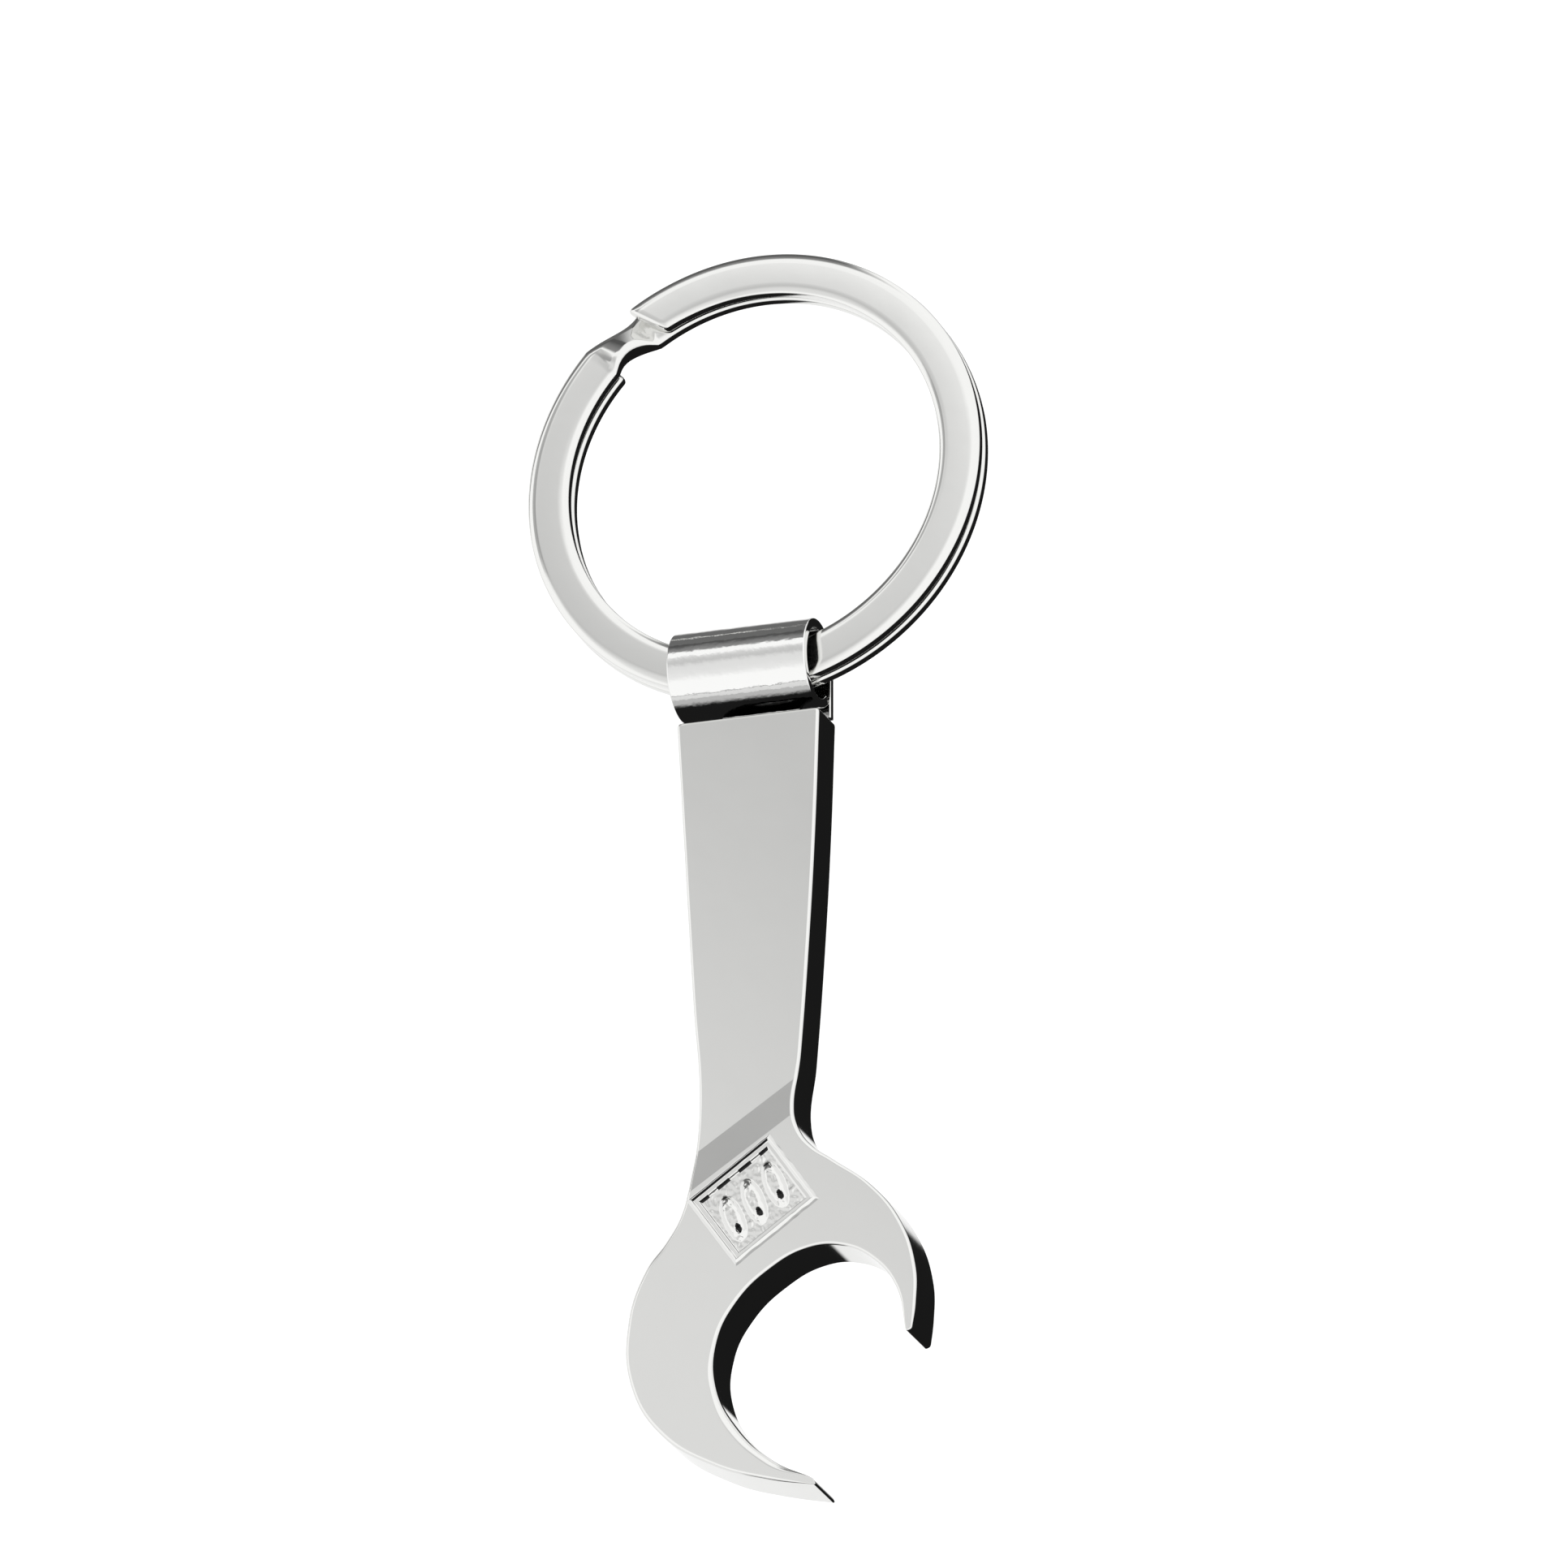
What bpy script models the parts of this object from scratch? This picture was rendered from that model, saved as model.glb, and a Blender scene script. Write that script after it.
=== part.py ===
"""Keychain bottle opener in the shape of an adjustable spanner, on a split ring.

The opener lies on its flat back: +Z is up, +Y points to the ring and +X to the right. The origin is on the
plane of the back, halfway between the ring's far edge and the lower jaw's tip.
Sizes are in millimetres, and mm() turns them into metres where something is made or placed.
"""

import math

import bmesh
import bpy
from mathutils import Matrix, Vector

# Opener: a flat casting, thicker at the head. Its outline starts at the middle of the handle's top edge.
HANDLE_LENGTH = 17.9
HANDLE_TOP_WIDTH = 6.3
NECK_WIDTH = 4.2
RIGHT_BULGE = 0.15
LEFT_BULGE = 0.02
HANDLE_THICKNESS = 2.2
HEAD_THICKNESS = 2.5
ARRIS = 0.1
STEP_ANGLE = 33.0
STEP_RUN = 1.4
STEP_FROM_NECK = 0.17

# Relief on the head that stands for a thumb wheel in its window.
WINDOW_LENGTH = 4.5
WINDOW_WIDTH = 3.85
WINDOW_FROM_NECK = (0.34, -3.76)
WINDOW_ANGLE = 35.0
RIM_HEIGHT = 0.3
RIM_WIDTH = 0.45
RECESS_DEPTH = 0.12
RIDGE_LENGTH = 2.1
RIDGE_WIDTH = 0.85
RIDGE_SPACING = 1.12
RIDGE_SLANT = 13.0
RIDGE_HEIGHT = 0.24

# Sleeve for the ring: a strip rolled into an eye, with a flat tail let into the handle's back.
LOOP_DIAMETER = 3.8
LOOP_WALL = 0.4
LOOP_LENGTH = 6.1
LOOP_TO_HANDLE = 0.15
TAIL_LENGTH = 5.0
TAIL_WIDTH = 3.4

# Countersunk rivet, from the back through the tail into the handle.
RIVET_HEAD_DIAMETER = 1.9
RIVET_SHANK_DIAMETER = 1.1
RIVET_LENGTH = 1.45
RIVET_SUNK = 0.03
RIVET_FROM_TAIL_END = 1.7

# Split ring: flat wire, two turns, with the upper turn's free end and the jog beside it. The wire is
# sized from the sleeve's bore, as its two turns pass through it.
RING_DIAMETER = 20.0
WIRE_WIDTH_SHARE_OF_BORE = 0.6
WIRE_THICKNESS_SHARE_OF_BORE = 0.2067
WIRE_EDGE_RADIUS = 0.2
COIL_GAP = 0.12
UPPER_END_ANGLE = 123.0
JOG_ANGLE = 15.0
LOWER_TURN = 345.0
RING_STATIONS_PER_TURN = 80
RING_SLID_ALONG_SLEEVE = 0.15

# Clearance round a fixed piece, and between the strip's free end and its tail.
FIT_GAP = 0.25

# How far cutters reach past what they cut, and how finely curves are divided.
BOOLEAN_MARGIN = 1.0
RIM_ROOT = 0.6
OUTLINE_PIECES = 6
EYE_PIECES = 40
WIRE_CORNER_PIECES = 3
RIDGE_SEGMENTS = 20
RIDGE_RINGS = 10
SMOOTH_BELOW_ANGLE = 35.0


def mm(*values):
    """Millimetres to metres: one number gives a number, more give a vector."""
    if len(values) == 1:
        return values[0] * 0.001
    return Vector(values) * 0.001


def on_circle(centre, radius, degrees):
    angle = math.radians(degrees)
    return (centre[0] + radius * math.cos(angle), centre[1] + radius * math.sin(angle))


def arc(centre, radius, start, end, pieces):
    """Points along a circular arc, both ends included."""
    return [
        on_circle(centre, radius, start + (end - start) * i / pieces)
        for i in range(pieces + 1)
    ]


def head_point(x, y):
    """A point of the head's outline, given from the middle of the neck."""
    return (x, y - HANDLE_LENGTH)


# Sizes and places that follow from those above, from the middle of the handle's top edge.
LOOP_BORE = LOOP_DIAMETER - 2 * LOOP_WALL
WIRE_WIDTH = LOOP_BORE * WIRE_WIDTH_SHARE_OF_BORE
WIRE_THICKNESS = LOOP_BORE * WIRE_THICKNESS_SHARE_OF_BORE
LOOP_AXIS_Y = LOOP_DIAMETER / 2 + LOOP_TO_HANDLE
LOOP_AXIS_Z = LOOP_DIAMETER / 2
LOWER_TIP = head_point(3.12, -16.62)
RING_THICKNESS = 2 * WIRE_THICKNESS + COIL_GAP

# Inside the sleeve the curved wire sweeps a band, whose middle runs along the sleeve's axis.
RING_OUTER_RADIUS = RING_DIAMETER / 2
RING_INNER_RADIUS = RING_OUTER_RADIUS - WIRE_WIDTH
SWEPT_INNER = math.sqrt(RING_INNER_RADIUS**2 - (LOOP_LENGTH / 2) ** 2)
RING_FROM_AXIS = (RING_OUTER_RADIUS + SWEPT_INNER) / 2

# The ring leans down from the sleeve until its far edge touches the surface that the back lies on.
RING_REACH = RING_FROM_AXIS + RING_OUTER_RADIUS
RING_TILT = math.asin(LOOP_AXIS_Z / math.hypot(RING_REACH, RING_THICKNESS / 2)) - math.atan2(
    RING_THICKNESS / 2, RING_REACH
)

# The origin is midway between the ring's far edge and the lower jaw's tip.
ORIGIN_Y = (LOOP_AXIS_Y + RING_REACH * math.cos(RING_TILT) + LOWER_TIP[1]) / 2


def clear_scene():
    for obj in list(bpy.data.objects):
        bpy.data.objects.remove(obj, do_unlink=True)


def new_collection(name):
    made = bpy.data.collections.new(name)
    bpy.context.scene.collection.children.link(made)
    return made


def new_material(name, colour, roughness):
    """A bare metal finish."""
    made = bpy.data.materials.new(name)
    made.use_nodes = True
    shader = made.node_tree.nodes["Principled BSDF"]
    shader.inputs["Base Color"].default_value = (*colour, 1.0)
    shader.inputs["Metallic"].default_value = 1.0
    shader.inputs["Roughness"].default_value = roughness
    return made


def curve_object(name, collection, dimensions):
    curve = bpy.data.curves.new(name, "CURVE")
    curve.dimensions = dimensions
    made = bpy.data.objects.new(name, curve)
    collection.objects.link(made)
    return made


def add_poly(curve, points, closed=True):
    spline = curve.splines.new("POLY")
    spline.points.add(len(points) - 1)
    for target, point in zip(spline.points, points):
        x, y, z = (*point, 0.0)[:3]
        target.co = (*mm(x, y, z), 1.0)
    spline.use_cyclic_u = closed


def add_smooth_outline(curve, knots, corners):
    """A closed outline through its knots, smooth everywhere except at the corners."""
    spline = curve.splines.new("BEZIER")
    spline.bezier_points.add(len(knots) - 1)
    for target, knot in zip(spline.bezier_points, knots):
        target.co = mm(*knot, 0.0)
        kind = "VECTOR" if knot in corners else "AUTO"
        target.handle_left_type = kind
        target.handle_right_type = kind
    spline.use_cyclic_u = True


def thicken(obj, thickness, arris=0.0):
    """Makes a flat curve a plate centred on its plane, its edges rounded inside the outline."""
    curve = obj.data
    curve.fill_mode = "BOTH"
    curve.extrude = mm(thickness / 2 - arris)
    curve.bevel_depth = mm(arris)
    curve.bevel_resolution = 1
    curve.offset = -mm(arris)


def as_mesh(obj, collection):
    """The curve's solid as a mesh object in its place, with the loose caps welded."""
    name = obj.name
    graph = bpy.context.evaluated_depsgraph_get()
    mesh = bpy.data.meshes.new_from_object(obj.evaluated_get(graph))
    place = obj.matrix_world.copy()
    bpy.data.objects.remove(obj, do_unlink=True)
    body = bmesh.new()
    body.from_mesh(mesh)
    bmesh.ops.remove_doubles(body, verts=body.verts, dist=mm(0.002))
    bmesh.ops.recalc_face_normals(body, faces=body.faces)
    body.to_mesh(mesh)
    body.free()
    made = bpy.data.objects.new(name, mesh)
    made.matrix_world = place
    collection.objects.link(made)
    return made


def plate(name, collection, points, thickness, place=None):
    """A solid plate of the outline's shape, centred on the plane of place."""
    flat = curve_object(name, collection, "2D")
    add_poly(flat.data, points)
    thicken(flat, thickness)
    if place:
        flat.matrix_world = place
    bpy.context.view_layer.update()
    return as_mesh(flat, collection)


def turned(name, collection, profile, steps=32):
    """A solid of revolution about Z. The profile's (radius, height) points run from the top down."""
    mesh = bpy.data.meshes.new(name)
    lathe = bmesh.new()
    verts = [lathe.verts.new(mm(radius, 0.0, height)) for radius, height in profile]
    for upper, lower in zip(verts, verts[1:]):
        lathe.edges.new((upper, lower))
    lathe.to_mesh(mesh)
    lathe.free()
    made = bpy.data.objects.new(name, mesh)
    collection.objects.link(made)
    screw = made.modifiers.new("turn", "SCREW")
    screw.steps = steps
    screw.render_steps = steps
    screw.use_merge_vertices = True
    screw.merge_threshold = 0.000001
    return made


def boolean(obj, tool, operation):
    cut = obj.modifiers.new(f"{operation.lower()}_{tool.name}", "BOOLEAN")
    cut.operation = operation
    cut.object = tool
    tool.hide_render = True
    tool.display_type = "WIRE"


def finish_piece(obj, material):
    obj.data.materials.clear()
    obj.data.materials.append(material)


def handle_edge(fraction, bulge):
    """Half the handle's width at a fraction of its length, with the most bulge at the middle."""
    straight = HANDLE_TOP_WIDTH + (NECK_WIDTH - HANDLE_TOP_WIDTH) * fraction
    return straight / 2 + bulge * 4 * fraction * (1 - fraction)


def opener_outline():
    """Knots clockwise from the handle's top left corner, and those where the outline has a corner."""
    top_left = (-HANDLE_TOP_WIDTH / 2, 0.0)
    top_right = (HANDLE_TOP_WIDTH / 2, 0.0)
    upper_tip = [head_point(7.31, -10.25), head_point(7.04, -10.33)]
    lower_tip = [head_point(2.98, -16.31), LOWER_TIP]
    right_edge = [
        (handle_edge(share, RIGHT_BULGE), -share * HANDLE_LENGTH) for share in (0.3, 0.6, 0.85)
    ]
    right_of_neck = [
        head_point(NECK_WIDTH / 2, 0.1),
        head_point(2.4, -0.95),
        head_point(2.95, -1.65),
        head_point(3.8, -2.3),
    ]
    upper_jaw = [
        head_point(5.5, -3.65),
        head_point(6.75, -5.3),
        head_point(7.45, -7.4),
        head_point(7.47, -9.1),
        *upper_tip,
        head_point(6.6, -8.3),
    ]
    mouth = [
        head_point(5.6, -6.95),
        head_point(4.2, -6.2),
        head_point(2.7, -6.15),
        head_point(1.0, -6.9),
        head_point(-0.5, -8.25),
        head_point(-1.3, -9.85),
        head_point(-1.33, -11.8),
        head_point(-0.45, -13.6),
        head_point(1.1, -15.2),
    ]
    lower_jaw = [
        *lower_tip,
        head_point(0.9, -16.1),
        head_point(-1.4, -15.25),
        head_point(-3.8, -13.55),
        head_point(-5.05, -11.35),
        head_point(-5.2, -8.6),
        head_point(-4.45, -6.3),
    ]
    left_of_neck = [
        head_point(-3.55, -5.15),
        head_point(-2.85, -4.0),
        head_point(-2.42, -2.0),
    ]
    left_edge = [
        (-handle_edge(share, LEFT_BULGE), -share * HANDLE_LENGTH) for share in (0.95, 0.7, 0.35)
    ]
    knots = [top_left, top_right, *right_edge, *right_of_neck, *upper_jaw, *mouth, *lower_jaw]
    corners = [top_left, top_right, *upper_tip, *lower_tip]
    return [*knots, *left_of_neck, *left_edge], corners


def raise_head(mesh):
    """Splits the plate along the step's two lines and lifts the face past them to the head's height."""
    angle = math.radians(STEP_ANGLE)
    downhill = Vector((-math.sin(angle), math.cos(angle), 0.0))
    top_line = mm(0.0, STEP_FROM_NECK - HANDLE_LENGTH, 0.0).dot(downhill)
    solid = bmesh.new()
    solid.from_mesh(mesh)
    for distance in (top_line, top_line - mm(STEP_RUN)):
        everything = [*solid.verts, *solid.edges, *solid.faces]
        bmesh.ops.bisect_plane(
            solid, geom=everything, dist=mm(0.001), plane_co=downhill * distance, plane_no=downhill
        )
    for vert in solid.verts:
        if vert.co.z > 0:
            climbed = (top_line - vert.co.dot(downhill)) / mm(STEP_RUN)
            vert.co.z += mm(HEAD_THICKNESS - HANDLE_THICKNESS) * min(max(climbed, 0.0), 1.0)
    bmesh.ops.triangulate(solid, faces=[face for face in solid.faces if len(face.verts) > 4])
    solid.to_mesh(mesh)
    solid.free()


def box_tool(name, collection, size, place):
    """A box of these three sizes, centred on the origin of place."""
    mesh = bpy.data.meshes.new(name)
    cube = bmesh.new()
    bmesh.ops.create_cube(cube, size=1.0)
    bmesh.ops.scale(cube, vec=mm(*size), verts=cube.verts)
    cube.to_mesh(mesh)
    cube.free()
    made = bpy.data.objects.new(name, mesh)
    made.matrix_world = place
    collection.objects.link(made)
    return made


def at(x, y, z, turn=0.0):
    """A place given from the middle of the handle's top edge, turned about Z by degrees."""
    return Matrix.Translation(mm(x, y - ORIGIN_Y, z)) @ Matrix.Rotation(math.radians(turn), 4, "Z")


def window_place(height):
    x, y = head_point(*WINDOW_FROM_NECK)
    return at(x, y, height, WINDOW_ANGLE)


def add_window(opener, tools):
    """Raised rim, shallow recess and three slanted ridges."""
    rim = box_tool(
        "window_rim",
        tools,
        (WINDOW_LENGTH, WINDOW_WIDTH, RIM_HEIGHT + RIM_ROOT),
        window_place(HEAD_THICKNESS + (RIM_HEIGHT - RIM_ROOT) / 2),
    )
    chamfer = rim.modifiers.new("rim_chamfer", "BEVEL")
    chamfer.width = mm(RIM_HEIGHT / 2)
    chamfer.segments = 1
    boolean(opener, rim, "UNION")
    depth = RIM_HEIGHT + RECESS_DEPTH
    recess = box_tool(
        "window_recess",
        tools,
        (WINDOW_LENGTH - 2 * RIM_WIDTH, WINDOW_WIDTH - 2 * RIM_WIDTH, depth + BOOLEAN_MARGIN),
        window_place(HEAD_THICKNESS + RIM_HEIGHT + (BOOLEAN_MARGIN - depth) / 2),
    )
    boolean(opener, recess, "DIFFERENCE")
    for number in (-1, 0, 1):
        mesh = bpy.data.meshes.new("wheel_ridge")
        ball = bmesh.new()
        bmesh.ops.create_uvsphere(
            ball, u_segments=RIDGE_SEGMENTS, v_segments=RIDGE_RINGS, radius=0.5
        )
        ridge_height = 2 * (RECESS_DEPTH + RIDGE_HEIGHT)
        bmesh.ops.scale(
            ball, vec=mm(RIDGE_WIDTH, RIDGE_LENGTH, ridge_height), verts=ball.verts
        )
        ball.to_mesh(mesh)
        ball.free()
        ridge = bpy.data.objects.new(f"wheel_ridge_{number + 2}", mesh)
        tools.objects.link(ridge)
        aside = Matrix.Translation(mm(number * RIDGE_SPACING, 0.0, -RECESS_DEPTH))
        slant = Matrix.Rotation(math.radians(-RIDGE_SLANT), 4, "Z")
        ridge.matrix_world = window_place(HEAD_THICKNESS) @ aside @ slant
        boolean(opener, ridge, "UNION")


def rivet_profile(spread):
    """Half the rivet's section from its top down, grown outwards and upwards by spread."""
    head = RIVET_HEAD_DIAMETER / 2 + spread
    shank = RIVET_SHANK_DIAMETER / 2 + spread
    bottom = RIVET_SUNK if spread == 0 else -BOOLEAN_MARGIN
    below = [] if spread == 0 else [(head, bottom)]
    section = [(0.0, RIVET_LENGTH + spread), (shank, RIVET_LENGTH + spread)]
    return [*section, (shank, LOOP_WALL + RIVET_SUNK), (head, RIVET_SUNK), *below, (0.0, bottom)]


def make_opener(parts, tools):
    knots, corners = opener_outline()
    flat = curve_object("opener_body", parts, "2D")
    flat.data.resolution_u = OUTLINE_PIECES
    add_smooth_outline(flat.data, knots, corners)
    thicken(flat, HANDLE_THICKNESS, ARRIS)
    bpy.context.view_layer.update()
    opener = as_mesh(flat, parts)
    raise_head(opener.data)
    opener.matrix_world = at(0.0, 0.0, HANDLE_THICKNESS / 2)
    add_window(opener, tools)
    reach = TAIL_LENGTH + FIT_GAP
    depth = LOOP_WALL + FIT_GAP
    tail_recess = box_tool(
        "tail_recess",
        tools,
        (TAIL_WIDTH + 2 * FIT_GAP, reach + BOOLEAN_MARGIN, depth + BOOLEAN_MARGIN),
        at(0.0, (BOOLEAN_MARGIN - reach) / 2, (depth - BOOLEAN_MARGIN) / 2),
    )
    boolean(opener, tail_recess, "DIFFERENCE")
    rivet_hole = turned("rivet_hole", tools, rivet_profile(FIT_GAP))
    rivet_hole.matrix_world = at(0.0, RIVET_FROM_TAIL_END - TAIL_LENGTH, 0.0)
    boolean(opener, rivet_hole, "DIFFERENCE")
    return opener, rivet_hole


def loop_section():
    """The strip's side view, (y, z): the flat tail, then round the eye to the free end above the tail."""
    centre = (LOOP_AXIS_Y, LOOP_AXIS_Z)
    outer = LOOP_DIAMETER / 2
    inner = outer - LOOP_WALL
    closing = math.degrees(math.acos(1 - (LOOP_WALL + FIT_GAP) / outer))
    last = 270 - closing
    outside = arc(centre, outer, -90, last, EYE_PIECES)
    inside = arc(centre, inner, last, -90, EYE_PIECES)
    return [(-TAIL_LENGTH, LOOP_WALL), (-TAIL_LENGTH, 0.0), *outside, *inside]


def make_loop(parts, tools, rivet_hole):
    across = Matrix(((0, 0, 1, 0), (1, 0, 0, 0), (0, 1, 0, 0), (0, 0, 0, 1)))
    loop = plate("ring_loop", parts, loop_section(), LOOP_LENGTH, at(0, 0, 0) @ across)
    trim_width = (LOOP_LENGTH - TAIL_WIDTH) / 2 + BOOLEAN_MARGIN
    trim_length = TAIL_LENGTH + LOOP_TO_HANDLE + BOOLEAN_MARGIN
    for side, name in ((-1, "tail_trim_left"), (1, "tail_trim_right")):
        trim = box_tool(
            name,
            tools,
            (trim_width, trim_length, LOOP_DIAMETER),
            at(side * (TAIL_WIDTH + trim_width) / 2, LOOP_TO_HANDLE - trim_length / 2, 0.0),
        )
        boolean(loop, trim, "DIFFERENCE")
    boolean(loop, rivet_hole, "DIFFERENCE")
    return loop


def make_rivet(parts):
    rivet = turned("loop_rivet", parts, rivet_profile(0.0))
    rivet.matrix_world = at(0.0, RIVET_FROM_TAIL_END - TAIL_LENGTH, 0.0)
    return rivet


def wire_path():
    """The wire's centre line, clockwise from the upper turn's free end to the lower turn's end."""
    radius = RING_OUTER_RADIUS - WIRE_WIDTH / 2
    level = (WIRE_THICKNESS + COIL_GAP) / 2
    total = 360.0 + LOWER_TURN
    stations = round(RING_STATIONS_PER_TURN * total / 360.0)
    points = []
    for i in range(stations + 1):
        wound = total * i / stations
        down = min(max((wound - (360.0 - JOG_ANGLE)) / JOG_ANGLE, 0.0), 1.0)
        eased = (1 - math.cos(math.pi * down)) / 2
        x, y = on_circle((0.0, 0.0), radius, UPPER_END_ANGLE - wound)
        points.append((x, y, level - 2 * level * eased))
    return points


def make_ring(parts, tools):
    """Flat wire swept along its path. Its parent stands on the sleeve's axis, where the ring swings."""
    section = curve_object("wire_section", tools, "2D")
    half_width = WIRE_WIDTH / 2 - WIRE_EDGE_RADIUS
    half_height = WIRE_THICKNESS / 2 - WIRE_EDGE_RADIUS
    outline = []
    for x, y, start in ((1, 1, 90), (1, -1, 0), (-1, -1, -90), (-1, 1, 180)):
        corner = (x * half_width, y * half_height)
        outline += arc(corner, WIRE_EDGE_RADIUS, start, start - 90, WIRE_CORNER_PIECES)
    add_poly(section.data, outline)
    section.data.fill_mode = "NONE"
    section.hide_render = True
    wire = curve_object("split_ring", parts, "3D")
    add_poly(wire.data, wire_path(), closed=False)
    wire.data.twist_mode = "Z_UP"
    wire.data.bevel_mode = "OBJECT"
    wire.data.bevel_object = section
    wire.data.use_fill_caps = True
    axis = bpy.data.objects.new("ring_swing_axis", None)
    parts.objects.link(axis)
    axis.matrix_world = at(0.0, LOOP_AXIS_Y, LOOP_AXIS_Z) @ Matrix.Rotation(-RING_TILT, 4, "X")
    wire.parent = axis
    wire.location = mm(RING_SLID_ALONG_SLEEVE, RING_FROM_AXIS, 0.0)
    return wire


def shade(obj):
    if obj.type == "MESH" and obj.data.polygons:
        obj.data.shade_smooth()
        obj.data.set_sharp_from_angle(angle=math.radians(SMOOTH_BELOW_ANGLE))


def build():
    clear_scene()
    parts = new_collection("keychain_bottle_opener")
    tools = new_collection("cutters_and_guides")
    opener, rivet_hole = make_opener(parts, tools)
    loop = make_loop(parts, tools, rivet_hole)
    rivet = make_rivet(parts)
    ring = make_ring(parts, tools)
    finish_piece(opener, new_material("plated_casting", (0.72, 0.72, 0.70), 0.12))
    finish_piece(loop, new_material("plated_strip", (0.80, 0.80, 0.80), 0.06))
    finish_piece(rivet, new_material("rivet_steel", (0.55, 0.55, 0.55), 0.3))
    finish_piece(ring, new_material("plated_wire", (0.74, 0.74, 0.72), 0.1))
    for obj in (opener, loop, rivet):
        shade(obj)


build()
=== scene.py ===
import math

import bmesh
import bpy
from mathutils import Matrix, Vector, geometry, noise


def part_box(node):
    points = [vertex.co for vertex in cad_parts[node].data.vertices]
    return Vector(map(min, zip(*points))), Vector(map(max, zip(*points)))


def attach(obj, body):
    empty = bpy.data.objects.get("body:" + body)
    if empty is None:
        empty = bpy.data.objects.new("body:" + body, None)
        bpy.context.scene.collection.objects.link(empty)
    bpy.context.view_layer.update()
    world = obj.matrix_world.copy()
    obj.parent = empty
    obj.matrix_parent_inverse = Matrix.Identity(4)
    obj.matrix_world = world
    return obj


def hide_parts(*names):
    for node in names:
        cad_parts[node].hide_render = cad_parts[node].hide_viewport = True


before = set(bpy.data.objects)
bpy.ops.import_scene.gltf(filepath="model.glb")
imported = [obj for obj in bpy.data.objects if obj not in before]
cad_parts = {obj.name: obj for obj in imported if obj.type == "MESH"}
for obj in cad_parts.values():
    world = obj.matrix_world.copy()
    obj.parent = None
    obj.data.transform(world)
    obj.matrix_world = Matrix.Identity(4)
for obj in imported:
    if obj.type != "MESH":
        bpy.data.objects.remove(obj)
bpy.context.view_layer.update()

# ---------------------------------------------------------------------------------------------------------
# The table and the light. The opener is held level over a white shooting table, under a wide, bright
# diffuser. The diffuser is toned in bands, as a light tent is, and that is what the plated metal mirrors.
# Below the table's edge the surroundings are dark, so upright walls of the metal show nearly black.

MM = 0.001
opener_low, opener_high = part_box("opener_body")
back_z = opener_low.z
handle_end_y = opener_high.y

camera_data = bpy.data.cameras.new("camera")
camera_data.lens = 1000.0
camera_data.sensor_width = 36.0
camera = bpy.data.objects.new("camera", camera_data)
bpy.context.scene.collection.objects.link(camera)
bpy.context.scene.camera = camera
look = Vector((-0.307, 0.347, -0.886)).normalized()
aim = Vector((1.61 * MM, handle_end_y - 3.28 * MM, back_z + 2.2 * MM))
view_width = 65.4 * MM
camera.location = aim - look * (view_width * camera_data.lens / camera_data.sensor_width)
upright = (Vector((0, 1, 0)) - look * look.y).normalized()
across = look.cross(upright)
camera.rotation_euler = Matrix((across, upright, -look)).transposed().to_euler()
camera_data.clip_start = 0.01
camera_data.clip_end = 20.0

bpy.context.scene.view_settings.view_transform = "Standard"


def socket_value(node, name, value):
    node.inputs[name].default_value = value
    return node


def new_nodes(name):
    """An empty material, its node tree and its output node."""
    made = bpy.data.materials.new(name)
    made.use_nodes = True
    made.node_tree.nodes.clear()
    return made, made.node_tree, made.node_tree.nodes.new("ShaderNodeOutputMaterial")


def math_node(tree, operation, first, second=0.0):
    node = tree.nodes.new("ShaderNodeMath")
    node.operation = operation
    for slot, value in zip(node.inputs, (first, second)):
        if isinstance(value, (int, float)):
            slot.default_value = value
        else:
            tree.links.new(value, slot)
    return node.outputs[0]


def multiply_add(tree, value, factor, added):
    result = math_node(tree, "MULTIPLY_ADD", value, factor)
    if isinstance(added, (int, float)):
        result.node.inputs[2].default_value = added
    else:
        tree.links.new(added, result.node.inputs[2])
    return result


def smooth_step(tree, value, start, end):
    """0 before start and 1 after end, or the other way round where start is above end."""
    step = tree.nodes.new("ShaderNodeMapRange")
    step.interpolation_type = "SMOOTHSTEP"
    rising = end > start
    socket_value(step, "From Min", min(start, end))
    socket_value(step, "From Max", max(start, end))
    socket_value(step, "To Min", 0.0 if rising else 1.0)
    socket_value(step, "To Max", 1.0 if rising else 0.0)
    tree.links.new(value, step.inputs["Value"])
    return step.outputs["Result"]


def plane(name, width, depth, place, material):
    mesh = bpy.data.meshes.new(name)
    sheet = bmesh.new()
    bmesh.ops.create_grid(sheet, x_segments=1, y_segments=1, size=0.5)
    bmesh.ops.scale(sheet, vec=(width, depth, 1.0), verts=sheet.verts)
    sheet.to_mesh(mesh)
    sheet.free()
    made = bpy.data.objects.new(name, mesh)
    made.matrix_world = place
    made.data.materials.append(material)
    bpy.context.scene.collection.objects.link(made)
    return made


# The table's top: matt white, seen by the camera but not by the metal, and clear from below. It stands far
# enough under the object for the ring to swing past the handle's back.
table_size, table_gap = 30.0, 20 * MM
white, tree, out = new_nodes("table_white")
matt = tree.nodes.new("ShaderNodeBsdfDiffuse")
socket_value(matt, "Color", (0.6, 0.6, 0.6, 1.0))
lift = tree.nodes.new("ShaderNodeEmission")
socket_value(lift, "Strength", 0.62)
lifted = tree.nodes.new("ShaderNodeAddShader")
tree.links.new(matt.outputs[0], lifted.inputs[0])
tree.links.new(lift.outputs[0], lifted.inputs[1])
clear = tree.nodes.new("ShaderNodeBsdfTransparent")
side = tree.nodes.new("ShaderNodeNewGeometry")
either = tree.nodes.new("ShaderNodeMixShader")
tree.links.new(side.outputs["Backfacing"], either.inputs[0])
tree.links.new(lifted.outputs[0], either.inputs[1])
tree.links.new(clear.outputs[0], either.inputs[2])
tree.links.new(either.outputs[0], out.inputs["Surface"])
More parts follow.
